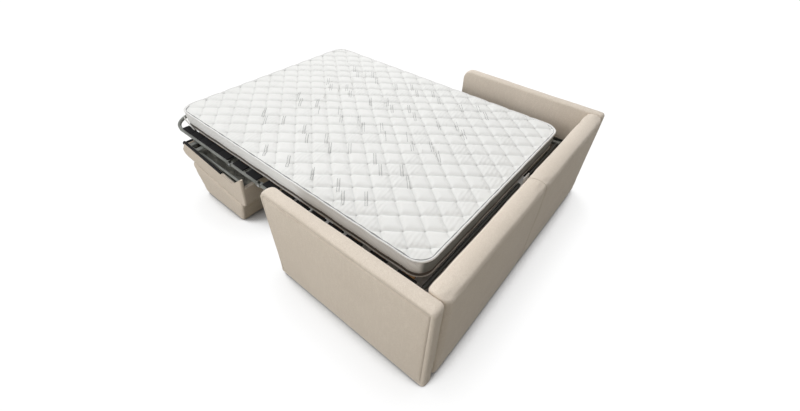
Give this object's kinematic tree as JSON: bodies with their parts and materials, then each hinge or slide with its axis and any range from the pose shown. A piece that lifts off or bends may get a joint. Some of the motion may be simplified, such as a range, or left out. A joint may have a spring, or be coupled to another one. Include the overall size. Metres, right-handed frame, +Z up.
{
  "type": "sofa bed",
  "caption": "Open sofa bed: mattress on a folding slatted frame, between upholstered arms and back, with seat and backrest folded under its foot.",
  "frame": {"origin": "middle of the open bed's footprint, on the floor", "axes": "+Z up, -Y the way the sofa faces and the bed opens, +X to the sitter's left"},
  "size_m": [1.786, 2.135, 0.611],
  "materials": {
    "upholstery": "warm light beige weave",
    "board": "raw board",
    "black_plastic": "matte",
    "white_plastic": "satin",
    "lining": "dark grey quilted",
    "foam": "open-cell foam",
    "mattress": "white quilted ticking",
    "slat_wood": "satin beech",
    "frame_steel": "grey-green satin",
    "zinc": "zinc plated"
  },
  "bodies": {
    "base": {"arm_cover_left": "upholstery", "arm_cover_right": "upholstery", "arm_core_left": "board", "arm_core_right": "board", "back_cover": "upholstery", "back_core": "board", "base_glides": "black_plastic", "base_rail_left": "frame_steel", "base_rail_right": "frame_steel", "base_cross_tubes": "frame_steel", "side_frame_left": "frame_steel", "side_frame_right": "frame_steel", "head_pivot_bolts": "zinc", "swing_pivot_bolts": "zinc"},
    "head_section": {"head_rails": "frame_steel", "head_cross_tubes": "frame_steel", "head_slats": "slat_wood", "head_hinge_bolts": "zinc", "head_end_clip": "white_plastic", "mattress_head": "mattress"},
    "mid_section": {"mid_rails": "frame_steel", "mid_cross_tubes": "frame_steel", "mid_slats": "slat_wood", "mid_hinge_bolts": "zinc", "swing_link_bolts": "zinc", "mattress_mid": "mattress"},
    "bridge_section": {"bridge_rails": "frame_steel", "bridge_cross_tube": "frame_steel", "bridge_slats": "slat_wood", "bridge_hinge_bolts": "zinc", "mattress_bridge": "mattress"},
    "foot_section": {"foot_rails": "frame_steel", "foot_cross_tubes": "frame_steel", "foot_slats": "slat_wood", "foot_hoop": "frame_steel", "mattress_foot": "mattress", "seat_tray": "board", "seat_foam": "foam", "seat_cover": "upholstery", "seat_lining": "lining", "seat_brackets": "frame_steel", "rim_bars": "frame_steel", "seat_hinge_leaves": "zinc", "backrest_hinge_pins": "zinc"},
    "backrest": {"backrest_board": "board", "backrest_cover": "upholstery", "backrest_hinge_leaves": "zinc"},
    "swing_link_left": {"swing_arm_left": "frame_steel"},
    "swing_link_right": {"swing_arm_right": "frame_steel"}
  },
  "joints": [
    {"name": "head_swing", "type": "hinge", "parent": "base", "child": "head_section", "pos_m": [0, 0.9175, 0.385], "axis": [1, 0, 0], "range_deg": [0, 90], "deforming": ["mattress_head"]},
    {"name": "mid_fold", "type": "hinge", "parent": "head_section", "child": "mid_section", "pos_m": [0, 0.5695, 0.385], "axis": [1, 0, 0], "range_deg": [-90, 0], "deforming": ["mattress_mid"]},
    {"name": "bridge_fold", "type": "hinge", "parent": "mid_section", "child": "bridge_section", "pos_m": [0, -0.17875, 0.385], "axis": [1, 0, 0], "range_deg": [-90, 0], "deforming": ["mattress_bridge"]},
    {"name": "foot_fold", "type": "hinge", "parent": "bridge_section", "child": "foot_section", "pos_m": [0, -0.45875, 0.385], "axis": [1, 0, 0], "range_deg": [-90, 0], "deforming": ["mattress_foot"]},
    {"name": "backrest_fold", "type": "hinge", "parent": "foot_section", "child": "backrest", "pos_m": [0, -0.908, 0.25343], "axis": [1, 0, 0], "range_deg": [-90, 0]},
    {"name": "swing_left", "type": "hinge", "parent": "base", "child": "swing_link_left", "pos_m": [0, 0.6875, 0.385], "axis": [1, 0, 0], "range_deg": [0, 90]},
    {"name": "swing_right", "type": "hinge", "parent": "base", "child": "swing_link_right", "pos_m": [0, 0.6875, 0.385], "axis": [1, 0, 0], "range_deg": [0, 90]}
  ],
  "couplings": [
    {"joint": "mid_fold", "follows": "head_swing", "ratio": -1},
    {"joint": "bridge_fold", "follows": "head_swing", "ratio": -1},
    {"joint": "foot_fold", "follows": "head_swing", "ratio": -1},
    {"joint": "backrest_fold", "follows": "head_swing", "ratio": -1},
    {"joint": "swing_left", "follows": "head_swing", "ratio": 1},
    {"joint": "swing_right", "follows": "head_swing", "ratio": 1}
  ]
}
